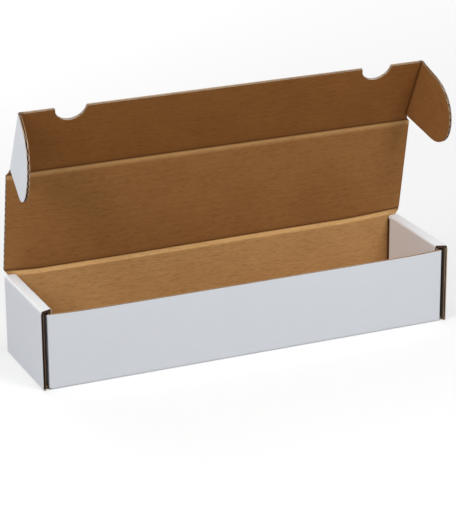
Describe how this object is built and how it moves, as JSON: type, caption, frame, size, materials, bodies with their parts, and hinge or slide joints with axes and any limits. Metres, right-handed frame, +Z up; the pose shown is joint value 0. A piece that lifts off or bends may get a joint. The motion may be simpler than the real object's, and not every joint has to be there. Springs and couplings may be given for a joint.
{
  "type": "card storage box",
  "caption": "Long, low corrugated cardboard box for storing cards on edge, with rolled-over double ends and a hinged lid whose front flap and ears tuck into the tray.",
  "frame": {"origin": "middle of the outside of the base, on the surface that the box stands on", "axes": "+X along the box's length to its right end, +Y to the hinged back wall, +Z up"},
  "size_m": [0.4154, 0.1016, 0.2424],
  "materials": {
    "corrugated_board": "white-lined outside, brown kraft inside, matte"
  },
  "bodies": {
    "tray": {"bottom_panel": "corrugated_board", "front_wall": "corrugated_board", "back_wall": "corrugated_board", "end_outer_left": "corrugated_board", "end_outer_right": "corrugated_board", "end_rollover_left": "corrugated_board", "end_rollover_right": "corrugated_board", "end_inner_left": "corrugated_board", "end_inner_right": "corrugated_board", "corner_flap_front_left": "corrugated_board", "corner_flap_front_right": "corrugated_board", "corner_flap_back_left": "corrugated_board", "corner_flap_back_right": "corrugated_board"},
    "lid": {"lid_panel": "corrugated_board"},
    "lid_flap": {"lid_front_flap": "corrugated_board"},
    "ear_left": {"lid_ear_left": "corrugated_board"},
    "ear_right": {"lid_ear_right": "corrugated_board"}
  },
  "joints": [
    {"name": "lid_hinge", "type": "hinge", "parent": "tray", "child": "lid", "pos_m": [0, 0.0495, 0.0777], "axis": [1, 0, 0], "range_deg": [-100.5, 79.5]},
    {"name": "flap_hinge", "type": "hinge", "parent": "lid", "child": "lid_flap", "pos_m": [0, 0.03091, 0.17799], "axis": [1, 0, 0], "range_deg": [-15.5, 74.5]},
    {"name": "ear_left_hinge", "type": "hinge", "parent": "lid_flap", "child": "ear_left", "pos_m": [-0.1978, 0.03091, 0.17799], "axis": [0, -0.4384, 0.8988], "range_deg": [-82, 8]},
    {"name": "ear_right_hinge", "type": "hinge", "parent": "lid_flap", "child": "ear_right", "pos_m": [0.1978, 0.03091, 0.17799], "axis": [0, 0.4384, -0.8988], "range_deg": [-82, 8]}
  ]
}
